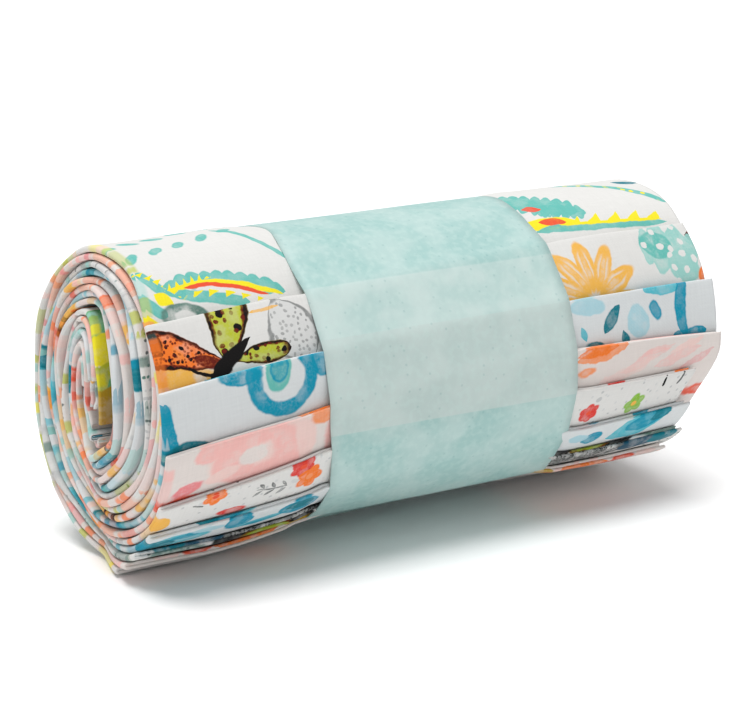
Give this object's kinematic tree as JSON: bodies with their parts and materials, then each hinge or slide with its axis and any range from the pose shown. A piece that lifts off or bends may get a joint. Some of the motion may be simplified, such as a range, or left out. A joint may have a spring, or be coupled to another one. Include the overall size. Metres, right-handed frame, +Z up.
{
  "type": "roll of folded fat eighths",
  "caption": "Rolled bundle of folded quilting cotton cuts with stepped ends on the front, held by a plain paper band and resting on its underside.",
  "frame": {"origin": "on the resting surface, under the middle of the roll's box", "axes": "+X along the roll with the folded edges at -X and the raw edges at +X, -Y towards the stepped front, +Z up"},
  "size_m": [0.1203, 0.0594, 0.0593],
  "materials": {
    "cotton_butterfly_print": "plain-weave quilting cotton, white with orange, lime and yellow butterflies and daisies, matte",
    "cotton_scroll_print": "plain-weave quilting cotton, cool white with large turquoise rings, matte",
    "cotton_pink_print": "plain-weave quilting cotton, off-white with pink rings and orange dabs, matte",
    "cotton_sprig_print": "plain-weave quilting cotton, white with fine grey twigs and small flowers, matte",
    "cotton_blue_dab_print": "plain-weave quilting cotton, white with turquoise dabs, matte",
    "cotton_grey_print": "plain-weave quilting cotton, white with grey dots and lime leaves, matte",
    "cotton_blush_print": "plain-weave quilting cotton, blush white with orange and red petals, matte",
    "cotton_leaf_print": "plain-weave quilting cotton, white with teal sprigs and yellow-edged stems, matte",
    "band_paper": "smooth uncoated paper with a pale aqua watercolour wash, satin"
  },
  "bodies": {
    "root": {"fat_eighth_1": "cotton_butterfly_print", "fat_eighth_2": "cotton_scroll_print", "fat_eighth_3": "cotton_pink_print", "fat_eighth_4": "cotton_sprig_print", "fat_eighth_5": "cotton_blue_dab_print", "fat_eighth_6": "cotton_grey_print", "fat_eighth_7": "cotton_blush_print", "fat_eighth_8": "cotton_leaf_print", "paper_band": "band_paper"}
  },
  "joints": []
}
